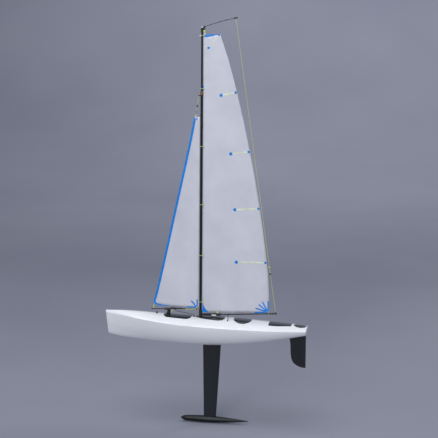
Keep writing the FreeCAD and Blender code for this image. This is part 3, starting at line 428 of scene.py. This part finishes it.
class Sail:
    """A cambered sail surface, addressed by side-view points or by shares up and across it."""

    def __init__(self, rows, camber, sag, place):
        self.camber, self.sag, self.place = camber, sag, place
        heights = [luff[1] for luff, _ in rows]
        self.low, self.high = heights[0], heights[-1]
        self.luff = smooth([(h, Vector(luff)) for h, (luff, _) in zip(heights, rows)])
        self.leech = smooth([(h, Vector(leech)) for h, (_, leech) in zip(heights, rows)])

    def drop(self, height, across):
        """How far the surface hangs below the straight line from luff to leech."""
        fade = max(0.0, 1 - max(0.0, height - self.low) / SAG_FADE)
        return 4 * across * (1 - across) * self.sag * fade ** 2

    def at(self, height, across, proud=0.0):
        """The surface point in metres; height is the luff's, across runs from luff to leech."""
        luff, leech = self.luff(height), self.leech(height)
        flat = luff + (leech - luff) * across
        belly = 4 * across * (1 - across) * self.camber * (leech - luff).length
        return self.place(side(flat.x, flat.y - self.drop(height, across), proud - belly))

    def near(self, x, z, proud=0.0):
        """The surface point whose side view is (x, z)."""
        height, across = z, 0.5
        for _ in range(NEAR_ROUNDS):
            luff, leech = self.luff(height), self.leech(height)
            across = (x - luff.x) / (leech.x - luff.x)
            height += z - (luff.y + (leech.y - luff.y) * across - self.drop(height, across))
        return self.at(height, across, proud)


MAIN = Sail(MAIN_ROWS, MAIN_CAMBER, MAIN_FOOT_SAG, raked)
JIB = Sail(JIB_ROWS, JIB_CAMBER, JIB_FOOT_SAG, lambda point: point)


# ---- mesh making ----------------------------------------------------------------------------
def piece(name, points, faces, material, body=None):
    """A smooth mesh piece, riding on a body when one is given."""
    mesh = bpy.data.meshes.new(name)
    mesh.from_pydata([tuple(p) for p in points], [], faces)
    tidy = bmesh.new()
    tidy.from_mesh(mesh)
    bmesh.ops.recalc_face_normals(tidy, faces=tidy.faces)
    tidy.to_mesh(mesh)
    tidy.free()
    mesh.shade_smooth()
    mesh.set_sharp_from_angle(angle=SHARP_ANGLE)
    mesh.materials.append(MATERIALS[material])
    made = bpy.data.objects.new(name, mesh)
    scene.collection.objects.link(made)
    if body:
        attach(made, body)
    return made


def across_of(direction):
    """Two unit vectors at right angles to a direction."""
    helper = Vector((0, 1, 0)) if abs(direction.y) < 0.9 else Vector((1, 0, 0))
    u = direction.cross(helper).normalized()
    return u, direction.cross(u).normalized()


def ring(centre, u, v, radius, sides):
    """Points round a centre, in the plane of two unit vectors."""
    turns = [2 * math.pi * k / sides for k in range(sides)]
    return [centre + (u * math.cos(turn) + v * math.sin(turn)) * radius for turn in turns]


def wall(a, b, sides):
    """The faces that join the rings whose points start at a and b."""
    return [(a + k, a + (k + 1) % sides, b + (k + 1) % sides, b + k) for k in range(sides)]


def end_caps(count, sides):
    """The faces that close the first and last of the rings in a list of count points."""
    return [tuple(range(sides)), tuple(range(count - sides, count))]


def swept(line, radius, sides=10, closed=False):
    """The points and faces of a round tube along a line."""
    count, points, faces = len(line), [], []
    u = None
    for i, centre in enumerate(line):
        before = line[i - 1] if closed or i else centre
        after = line[(i + 1) % count] if closed or i < count - 1 else centre
        along = (after - before).normalized()
        u = across_of(along)[0] if u is None else (u - along * u.dot(along)).normalized()
        points += ring(centre, u, along.cross(u), radius, sides)
    for i in range(count if closed else count - 1):
        faces += wall(i * sides, (i + 1) % count * sides, sides)
    if not closed:
        faces += end_caps(len(points), sides)
    return points, faces


def lathe(name, start, end, profile, material, body, slot, sides=24):
    """A turned piece from start to end; the profile is (share of the way, radius in mm)."""
    along = end - start
    u, v = across_of(along.normalized())
    points, faces = [], []
    for share, radius in profile:
        points += ring(start + along * share, u, v, radius * MM, sides)
    for i in range(len(profile) - 1):
        faces += wall(i * sides, (i + 1) * sides, sides)
    piece(name, points, faces + end_caps(len(points), sides), material, body)


def ellipse_profile(radius, steps=8):
    """A round-ended profile for lathe, as of a bead."""
    turns = [math.pi * i / steps for i in range(steps + 1)]
    return [((1 - math.cos(t)) / 2, max(POLE_R, radius * math.sin(t))) for t in turns]


def slab(name, outline_rows, half, material, body, slot, sail):
    """A thin closed patch over rows of side-view points, standing proud of both sides of a sail."""
    width = len(outline_rows[0])
    points, faces = [], []
    for proud in (half, -half):
        points += [sail.near(x, z, proud) for row in outline_rows for x, z in row]
    layer = len(outline_rows) * width
    for i in range(len(outline_rows) - 1):
        for k in range(width - 1):
            a = i * width + k
            faces.append((a, a + 1, a + width + 1, a + width))
            faces.append((layer + a, layer + a + width, layer + a + width + 1, layer + a + 1))
    rim = (list(range(width)) + [i * width + width - 1 for i in range(1, len(outline_rows))]
           + [layer - 1 - k for k in range(1, width)]
           + [i * width for i in range(len(outline_rows) - 2, 0, -1)])
    for a, b in zip(rim, rim[1:] + rim[:1]):
        faces.append((a, b, layer + b, layer + a))
    piece(name, points, faces, material, body)


def ribbon(name, sail, way, width, half, material, body, slot, step=4.0):
    """A tape with rounded ends laid along a side-view line on a sail; width may be two values."""
    w0, w1 = width if isinstance(width, tuple) else (width, width)
    ends = [Vector(p) for p in way]
    lengths = [(b - a).length for a, b in zip(ends, ends[1:])]
    total = sum(lengths)
    path = smooth([(sum(lengths[:i]), p) for i, p in enumerate(ends)])
    r0, r1 = w0 / 2, w1 / 2
    middle = max(1, round((total - r0 - r1) / step))
    stops = ([r0 * s for s in END_CUTS]
             + [r0 + (total - r0 - r1) * i / middle for i in range(1, middle)]
             + [total - r1 * s for s in reversed(END_CUTS)])
    rows = []
    for s in stops:
        ahead = path(min(total, s + AHEAD)) - path(max(0.0, s - AHEAD))
        sideways = Vector((-ahead.y, ahead.x)).normalized()
        reach = (w0 + (w1 - w0) * s / total) / 2
        if s < r0:
            reach = math.sqrt(max(0.0, r0 * r0 - (r0 - s) ** 2)) + LEAST_REACH
        if total - s < r1:
            reach = math.sqrt(max(0.0, r1 * r1 - (r1 - total + s) ** 2)) + LEAST_REACH
        rows.append([tuple(path(s) + sideways * reach * k) for k in (-1.0, -0.33, 0.33, 1.0)])
    slab(name, rows, half, material, body, slot, sail)


def dot(name, sail, centre, radius, half, material, body, slot):
    """A round sticker on a sail."""
    start = (centre[0] - radius, centre[1])
    end = (centre[0] + radius, centre[1])
    ribbon(name, sail, [start, end], radius * NEARLY_TWO, half, material, body, slot)


def knot(name, centre, size, body, turn=0.0):
    """A small three-lobed knot of the bright cord."""
    spin = Matrix.Rotation(turn, 3, "X") @ Matrix.Rotation(math.pi / 2, 3, "X")
    line = []
    for i in range(KNOT_STEPS):
        t = 2 * math.pi * i / KNOT_STEPS
        lobe = Vector((math.sin(t) + 2 * math.sin(2 * t), math.cos(t) - 2 * math.cos(2 * t),
                       -math.sin(3 * t)))
        line.append(centre + spin @ lobe * size * MM / 3)
    points, faces = swept(line, size * MM * KNOT_CORD, 8, closed=True)
    piece(name, points, faces, "yellow_green_cord", body)


# ---- cords ----------------------------------------------------------------------------------
def cord_line(route, resolution=8):
    """The points of the smooth NURBS line that has the route's points as its controls."""
    data = bpy.data.curves.new("route", "CURVE")
    data.dimensions = "3D"
    spline = data.splines.new("NURBS")
    spline.points.add(len(route) - 1)
    for control, point in zip(spline.points, route):
        control.co = (*point, 1.0)
    spline.order_u = 3
    spline.use_endpoint_u = True
    spline.resolution_u = resolution
    bare = bpy.data.objects.new("route", data)
    mesh = bpy.data.meshes.new_from_object(bare)
    line = [v.co.copy() for v in mesh.vertices]
    bpy.data.meshes.remove(mesh)
    bpy.data.curves.remove(data)
    return line


def cord(name, route, radius, node, material, resolution=16):
    """A cord's mesh tube along its route, in place of the CAD node it stands for, which is hidden.
    """
    line = cord_line(route, resolution)
    points, faces = swept(line, radius * MM, 12)
    made = piece(name, points, faces, material)
    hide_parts(node)
    return made


def spaced_route(start, end, shares):
    """The control points at the given shares of a taut straight run."""
    return [start + (end - start) * share for share in shares]


def make_cords():
    """The leech line, the jib halyard and the jib sheet."""
    top, foot = side(*LEECH_LINE_TOP), side(*LEECH_LINE_FOOT)
    leech = cord("leech_line_cord", spaced_route(top, foot, (0, 0.3, 0.6, 1)), LEECH_LINE_R,
                 "leech_line", "yellow_green_cord", resolution=24)
    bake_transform(leech)

    upper, lower = stay(HALYARD_TOP_Z), stay(HALYARD_FOOT_Z)
    halyard = cord("jib_halyard_cord", spaced_route(upper, lower, (0, 0.5, 1)), CORD_R,
                   "jib_halyard", "yellow_green_cord")
    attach(halyard, "hull")

    lead, tab = side(*JIB_SHEET_FOOT), side(*JIB_SHEET_TOP)
    sheet_line = cord("jib_sheet_cord", spaced_route(lead, tab, (0, 0.5, 1)), SHEET_R,
                      "jib_sheet", "dark_cord")
    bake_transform(sheet_line)


def make_mainsheet():
    """The short stretch of mainsheet from its deck lead up to the eye under the boom."""
    low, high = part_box("mainsheet")
    radius = SHEET_R * MM
    lead = Vector((low.x + radius, high.y - radius, low.z))
    eye = Vector((high.x - radius, low.y + radius, high.z))
    slack = (lead + eye) / 2 + Vector(MAINSHEET_SLACK) * MM
    points, faces = swept(cord_line([lead, slack, eye], 12), radius, 12)
    made = piece("mainsheet_cord", points, faces, "dark_cord")
    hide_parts("mainsheet")
    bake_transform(made)


def luff_loop(z):
    """The loop round the mast that holds the luff at a height."""
    near = (LOWER_MAST_R if z < MAST_JOINT else UPPER_MAST_R) + TIE_MAST_GAP
    far = TIE_REACH - LUFF_X
    middle, half = (near - far) / 2, (near + far) / 2
    return [raked(side(middle + half * math.cos(t), z - TIE_TILT * math.cos(t), near * math.sin(t)))
            for t in RING_TURNS]


def clew_loop():
    """The mainsail clew's ring round the boom, a little out of round."""
    clew = on_line(BOOM_START, BOOM_END, CLEW_RING_X)
    tall, wide, sway = CLEW_RING
    return [raked(clew + side(sway * math.cos(2 * t), tall * math.cos(t), wide * math.sin(t)))
            for t in RING_TURNS]


def short_tie(corner, x, lift, bow):
    """A tie from a corner of the jib to its boom, its middle standing off along X by the bow."""
    start = side(*corner)
    end = on_line(JIB_BOOM_START, JIB_BOOM_END, x) + side(0, lift)
    return cord_line([start, (start + end) / 2 + side(bow, 0), end])


def make_tubes(name, runs, body, node):
    """Ties as one piece, from (line, radius, closed) runs, in place of their CAD node."""
    points, faces = [], []
    for line, radius, closed in runs:
        tube_points, tube_faces = swept(line, radius * MM, 10, closed)
        base = len(points)
        points += tube_points
        faces += [tuple(base + i for i in face) for face in tube_faces]
    ties = piece(name, points, faces, "yellow_green_cord", body)
    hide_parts(node)


def make_ties():
    """The luff ties with their knots, the clew ring and the jib's tack, clew and head ties."""
    runs = [(luff_loop(z), TIE_R, True) for z in MAIN_TIE_HEIGHTS]
    runs.append((clew_loop(), CLEW_TIE_R, True))
    make_tubes("main_luff_ties", runs, "main_boom", "mainsail_ties")
    x, y = LUFF_KNOT
    for i, z in enumerate(MAIN_TIE_HEIGHTS):
        knot(f"luff_knot_{i + 1}", raked(side(x, z, y)), LUFF_KNOT_SIZE, "main_boom",
             LUFF_KNOT_TURN * i)

    runs = [(short_tie(*places), radius, False) for *places, radius in JIB_TIES]
    runs.append((cord_line([stay(z) for z in JIB_HEAD_TIE]), CORD_R, False))
    make_tubes("jib_corner_ties", runs, "jib", "jib_ties")


# ---- sails ----------------------------------------------------------------------------------
def make_sail(name, sail, up, across, body, node):
    """One sail as a thin film, replacing its CAD stand-in."""
    points = [sail.at(sail.low + (sail.high - sail.low) * i / up, k / across)
              for i in range(up + 1) for k in range(across + 1)]
    row = across + 1
    faces = [(i * row + k, i * row + k + 1, (i + 1) * row + k + 1, (i + 1) * row + k)
             for i in range(up) for k in range(across)]
    film = piece(name, points, faces, "sail_film", body)
    thick = film.modifiers.new("film", "SOLIDIFY")
    thick.thickness, thick.offset = SAIL_THICKNESS * MM, 0.0
    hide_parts(node)


# battens, stripes and tapes as lines of side-view points
MAIN_BATTENS = [((-65.9, 797.6), (-112.0, 807.6)), ((-96.2, 616.8), (-152.9, 625.5)),
                ((-109.2, 441.1), (-184.6, 448.5)), ((-114.4, 272.8), (-207.8, 276.8))]
CLEW_STRIPES = [((-172.9, 112.6), (-213.5, 117.5)), ((-176.0, 127.0), (-212.0, 119.0)),
                ((-186.2, 140.0), (-213.0, 120.5)), ((-198.2, 150.0), (-215.0, 121.0)),
                ((-217.2, 154.5), (-217.2, 119.5))]
JIB_TAPE = [(15.0, 728.0), (30.5, 650.0), (56.4, 534.0), (84.3, 411.0), (111.5, 291.0),
            (140.0, 170.0), (148.0, 141.0), (150.2, 131.5), (146.5, 126.8)]
JIB_TACK_TAPE = [(148.5, 128.5), (142.5, 125.0), (126.0, 121.4), (104.0, 119.2)]
JIB_STRIPES = [((10.8, 147.0), (11.2, 124.0)), ((31.0, 141.0), (13.5, 122.0)),
               ((44.0, 119.4), (13.7, 120.6))]
# the tapes near the mainsail's head and luff
HEAD_TAPE, HEAD_TAPE_WIDTHS = [(-7.6, 976.9), (-22.0, 979.1), (-36.5, 981.1)], (9.0, 6.5)
HEAD_EDGE, HEAD_DOT = [(-34.0, 980.0), (-52.0, 982.3)], (-52.8, 981.6)
TOP_BATTEN, TOP_BATTEN_DOT = [(-48.1, 978.2), (-24.8, 947.9)], (-20.0, 941.9)
LUFF_PATCH = [(-10.4, 828.0), (-10.4, 812.0)]
JIB_HEAD_PATCH, JIB_GROMMET = [(14.8, 724.5), (7.2, 724.0)], (12.6, 724.5)
STRIPE_WIDTH, BATTEN_WIDTH, THIN_WIDTH = 4.4, 4.2, 2.0
LUFF_PATCH_WIDTH, JIB_TAPE_WIDTH, JIB_PATCH_WIDTH = 5.0, 7.0, 9.0
JIB_TACK_WIDTHS = (6.0, 1.6)
INNER_DOT_R, OUTER_DOT_R, HEAD_DOT_R, GROMMET_R = 5.3, 4.0, 3.2, 2.2
GROMMET_RISE = 0.05                        # how much higher it lies than a dot
# the tack patch's rows as (height, width)
TACK_PATCH = [(105.6, 19.0), (108.0, 16.8), (112.0, 13.6), (117.0, 9.4), (122.0, 6.2),
              (127.5, 3.6), (133.5, 1.2)]


def unraked(x, z):
    """A side-view point of the raked mast taken back to the upright frame."""
    return x + (z - RAKE_Z) * math.sin(RAKE), z


def dress_mainsail():
    """Battens with their end dots, head tapes, luff and tack patches and the clew's stripes."""
    tape = dict(material="blue_tape", body="main_boom", slot="sail_film")
    strip = dict(material="batten_strip", body="main_boom", slot="sail_film")
    for i, (inner, outer) in enumerate(MAIN_BATTENS):
        inner, outer = unraked(*inner), unraked(*outer)
        ribbon(f"batten_{i + 1}", MAIN, [inner, outer], BATTEN_WIDTH, BATTEN_HALF, **strip)
        dot(f"batten_dot_inner_{i + 1}", MAIN, inner, INNER_DOT_R, DOT_HALF, **tape)
        dot(f"batten_dot_outer_{i + 1}", MAIN, outer, OUTER_DOT_R, DOT_HALF, **tape)
    ribbon("head_tape", MAIN, HEAD_TAPE, HEAD_TAPE_WIDTHS, TAPE_HALF, **tape)
    ribbon("head_edge", MAIN, HEAD_EDGE, THIN_WIDTH, TAPE_HALF, **tape)
    dot("head_dot", MAIN, HEAD_DOT, HEAD_DOT_R, DOT_HALF, **tape)
    ribbon("top_batten", MAIN, TOP_BATTEN, THIN_WIDTH, BATTEN_HALF, **strip)
    dot("top_batten_dot", MAIN, TOP_BATTEN_DOT, OUTER_DOT_R, DOT_HALF, **tape)
    ribbon("luff_patch", MAIN, [unraked(*place) for place in LUFF_PATCH], LUFF_PATCH_WIDTH,
           TAPE_HALF, **tape)
    for i, (start, end) in enumerate(CLEW_STRIPES):
        ribbon(f"clew_stripe_{i + 1}", MAIN, [start, end], STRIPE_WIDTH,
               TAPE_HALF + OVERLAP_STEP * i, **tape)
    rows = [[(TACK_X - share * width, z) for share in (0.0, 0.33, 0.66, 1.0)]
            for z, width in TACK_PATCH]
    slab("tack_patch", rows, TAPE_HALF, sail=MAIN, **tape)


def dress_jib():
    """The luff and tack tapes, the head patch with its grommet and the clew's stripes."""
    tape = dict(material="blue_tape", body="jib", slot="sail_film")
    ribbon("jib_luff_tape", JIB, JIB_TAPE, JIB_TAPE_WIDTH, TAPE_HALF, **tape)
    ribbon("jib_tack_tape", JIB, JIB_TACK_TAPE, JIB_TACK_WIDTHS, TAPE_HALF + EDGE_LAP, **tape)
    ribbon("jib_head_patch", JIB, JIB_HEAD_PATCH, JIB_PATCH_WIDTH, TAPE_HALF + EDGE_LAP, **tape)
    dot("jib_head_grommet", JIB, JIB_GROMMET, GROMMET_R, DOT_HALF + GROMMET_RISE,
        "white_plastic", "jib", "white_plastic")
    for i, (start, end) in enumerate(JIB_STRIPES):
        ribbon(f"jib_clew_stripe_{i + 1}", JIB, [start, end], STRIPE_WIDTH,
               TAPE_HALF + OVERLAP_STEP * i, **tape)


# ---- small fittings -------------------------------------------------------------------------
# turned profiles as (share of the way, radius)
DROP_PROFILE = [(0, 0.3), (0.18, 0.8), (0.36, 1.9), (0.55, 3.4), (0.72, 3.9), (0.88, 3.2), (1, 1.4)]
SLEEVE_PROFILE = [(0, 1.3), (0.04, 1.9), (0.96, 1.9), (1, 1.3)]
KNOB_PROFILE = [(0, 1.5), (0.3, 1.6), (0.4, 2.9), (0.8, 3.0), (1, 2.2)]
# turned fittings as (name, start, end, profile, material, body, slot), given in the upright
# frame of the mast on the arm and in the side view at the masthead
ARM_FITTINGS = [
    ("arm_sleeve", (-36.6, 98.6, 4.6), (-51.8, 98.6, 4.6), SLEEVE_PROFILE,
     "white_plastic", "main_boom", "white_plastic"),
    ("arm_knob", (-55.5, 103.4), (-55.5, 109.6), KNOB_PROFILE,
     "yellow_green_cord", "main_boom", "yellow_green_cord")]
MASTHEAD_FITTINGS = [
    ("masthead_drop", (-15.0, 1001.0), (-15.0, 987.8), DROP_PROFILE,
     "yellow_green_cord", "hull", "yellow_green_cord"),
    ("masthead_blob", (-16.1, 988.0), (-16.1, 978.6), ellipse_profile(2.7),
     "clear_blob", "main_boom", "white_plastic"),
    ("masthead_knob", (-2.9, 978.8, 3.2), (-2.9, 978.8, 7.0), ellipse_profile(2.3),
     "white_plastic", "main_boom", "white_plastic")]
# knots as (name, place, size); those on the leech line ride with its bowsie
LEECH_KNOTS = [("leech_line_knot", (-220.9, 261.0), 2.4),
               ("leech_line_twist_1", (-222.6, 249.0), 1.2),
               ("leech_line_twist_2", (-223.6, 244.5), 1.5)]
JIB_KNOTS = [("jib_head_knot", (13.0, 735.0), 1.8), ("trim_bar_knot", (92.0, 106.0, 1.8), 2.4),
             ("jib_boom_knot", (46.6, 112.3, 1.8), 2.2)]
# the loose end of the jib's clew tie, as (x, height above the boom's axis)
TIE_END = [(43.0, 0.0), (34.0, -0.7), (23.0, 0.5), (13.8, 0.2)]
TIE_END_Y = 2.3


def make_fittings():
    """The turned pieces, knots and loose cord that the CAD leaves to this script."""
    for name, start, end, *look in ARM_FITTINGS:
        lathe(name, raked(side(*start)), raked(side(*end)), *look)
    for name, start, end, *look in MASTHEAD_FITTINGS:
        lathe(name, side(*start), side(*end), *look)
    for name, place, size in LEECH_KNOTS:
        knot(name, side(*place), size, "leech_bowsie")
    for name, place, size in JIB_KNOTS:
        knot(name, side(*place), size, "jib")
    lying = [on_line(JIB_BOOM_START, JIB_BOOM_END, x) + side(0, lift, TIE_END_Y)
             for x, lift in TIE_END]
    points, faces = swept(cord_line(lying), TIE_END_R * MM)
    piece("jib_tie_end", points, faces, "yellow_green_cord", "jib")


# ---- floor and light ------------------------------------------------------------------------
FLOOR_HALF_WIDTH = 9.0
FLOOR_GAP = 0.0005
# the floor's section from front to back, as (y, height), in metres
FLOOR_SECTION = [(8.0, 0.0), (0.0, 0.0), (-4.0, 0.0), (-5.2, 0.12), (-6.2, 0.5), (-6.9, 1.2),
                 (-7.2, 2.2), (-7.3, 9.0)]
SKY_COLOUR, SKY_STRENGTH = (0.86, 0.90, 1.0, 1), 0.45
# lamps as (name, place, target, size, power)
LAMPS = [("overhead", (0.3, 0.8, 3.6), (0, 0, 0.2), 2.6, 62),
         ("front", (0.5, 4.3, 1.9), (-0.05, 0, 0.4), 2.4, 74),
         ("rim", (-2.2, -1.6, 2.4), (0, 0, 0.4), 1.6, 25),
         ("backdrop", (0, -3.4, 3.4), (0, -7.2, 2.0), 2.0, 110)]


def stage_paint():
    """Pale grey-blue paint with the faintest mottling."""
    m = Nodes("stage_paint")
    m.colour(m.noise(0.8, 3.0), (0.225, 0.235, 0.295, 1), (0.255, 0.265, 0.325, 1))
    m.rough(m.noise(6, 3.0), 0.8, 0.95)
    return m.material


def make_stage():
    """A pale floor that curves up far behind the boat."""
    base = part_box("keel_bulb")[0].z - FLOOR_GAP
    points = [(x, y, base + z) for y, z in FLOOR_SECTION
              for x in (-FLOOR_HALF_WIDTH, FLOOR_HALF_WIDTH)]
    faces = [(2 * i, 2 * i + 1, 2 * i + 3, 2 * i + 2) for i in range(len(FLOOR_SECTION) - 1)]
    mesh = bpy.data.meshes.new("stage_floor")
    mesh.from_pydata(points, [], faces)
    mesh.shade_smooth()
    mesh.materials.append(stage_paint())
    floor = bpy.data.objects.new("stage_floor", mesh)
    scene.collection.objects.link(floor)


def make_lamp(name, place, target, size, power):
    """A round soft lamp that looks at its target."""
    data = bpy.data.lights.new(name, "AREA")
    data.shape, data.size, data.energy = "DISK", size, power
    lamp = bpy.data.objects.new(name, data)
    lamp.location = place
    lamp.rotation_mode = "QUATERNION"
    lamp.rotation_quaternion = aimed(place, target)
    scene.collection.objects.link(lamp)


def make_light():
    """A soft sky and the lamps of a small studio."""
    world = bpy.data.worlds.new("studio")
    scene.world = world
    world.use_nodes = True
    sky = world.node_tree.nodes["Background"]
    sky.inputs["Color"].default_value = SKY_COLOUR
    sky.inputs["Strength"].default_value = SKY_STRENGTH
    for lamp in LAMPS:
        make_lamp(*lamp)
    scene.view_settings.view_transform = "Standard"


# ---- the scene ------------------------------------------------------------------------------
make_camera()
MATERIALS = make_materials()
make_cords()
make_mainsheet()
make_ties()
dress_nodes(MATERIALS)
make_sail("mainsail_film", MAIN, 96, 24, "main_boom", "mainsail")
make_sail("jib_film", JIB, 72, 18, "jib", "jib_sail")
dress_mainsail()
dress_jib()
make_fittings()
make_stage()
make_light()
